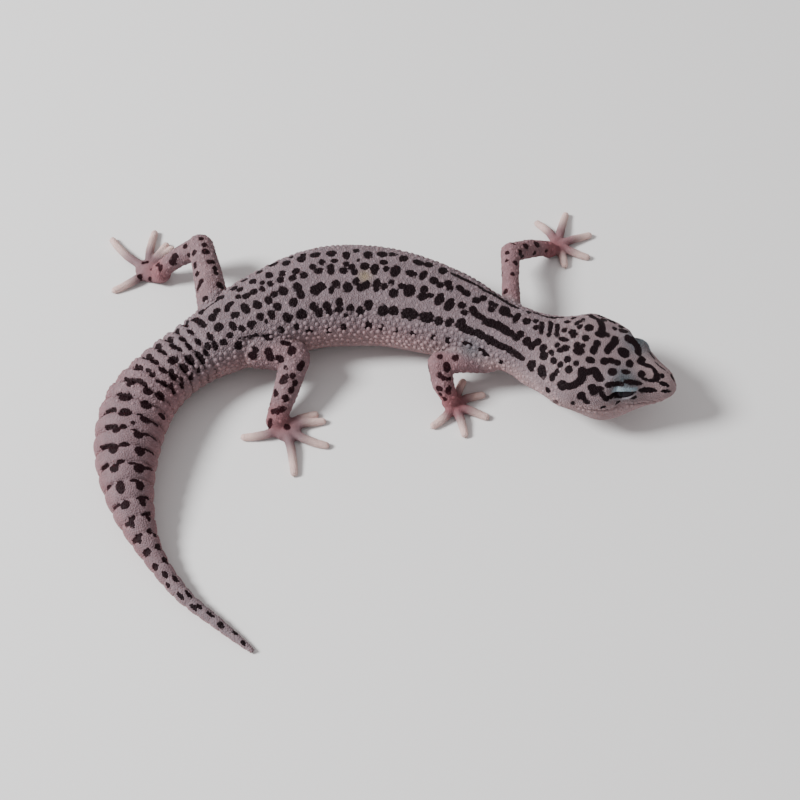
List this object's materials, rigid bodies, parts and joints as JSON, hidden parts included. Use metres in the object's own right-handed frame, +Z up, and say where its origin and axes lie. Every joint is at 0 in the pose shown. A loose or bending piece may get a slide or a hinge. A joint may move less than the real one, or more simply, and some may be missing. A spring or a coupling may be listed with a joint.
{
  "type": "leopard gecko",
  "caption": "Life-size still model of a leopard gecko lying low on its belly, head raised and fat tail curled round its right side.",
  "frame": {"origin": "centre of the bounding box on the floor that the belly, tail and feet rest on", "axes": "+X the way the snout points, -Y the animal's right side, +Z up"},
  "size_m": [0.1293, 0.1174, 0.0177],
  "materials": {
    "skin": "beaded pale lavender-grey skin with near-black spots in rows",
    "limb_skin": "fine-grained pinkish skin with dark spots",
    "foot_skin": "pale translucent pink skin, toes with small pale claws",
    "eye": "wet near-black eye with a slit pupil"
  },
  "bodies": {
    "root": {"head": "skin", "lower_jaw": "skin", "neck": "skin", "trunk": "skin", "tail_base": "skin", "tail_middle": "skin", "tail_tip": "skin", "eye_left": "eye", "eye_right": "eye", "front_left_upper": "limb_skin", "front_left_lower": "limb_skin", "front_left_foot": "foot_skin", "front_right_upper": "limb_skin", "front_right_lower": "limb_skin", "front_right_foot": "foot_skin", "hind_left_upper": "limb_skin", "hind_left_lower": "limb_skin", "hind_left_foot": "foot_skin", "hind_right_upper": "limb_skin", "hind_right_lower": "limb_skin", "hind_right_foot": "foot_skin"}
  },
  "joints": []
}
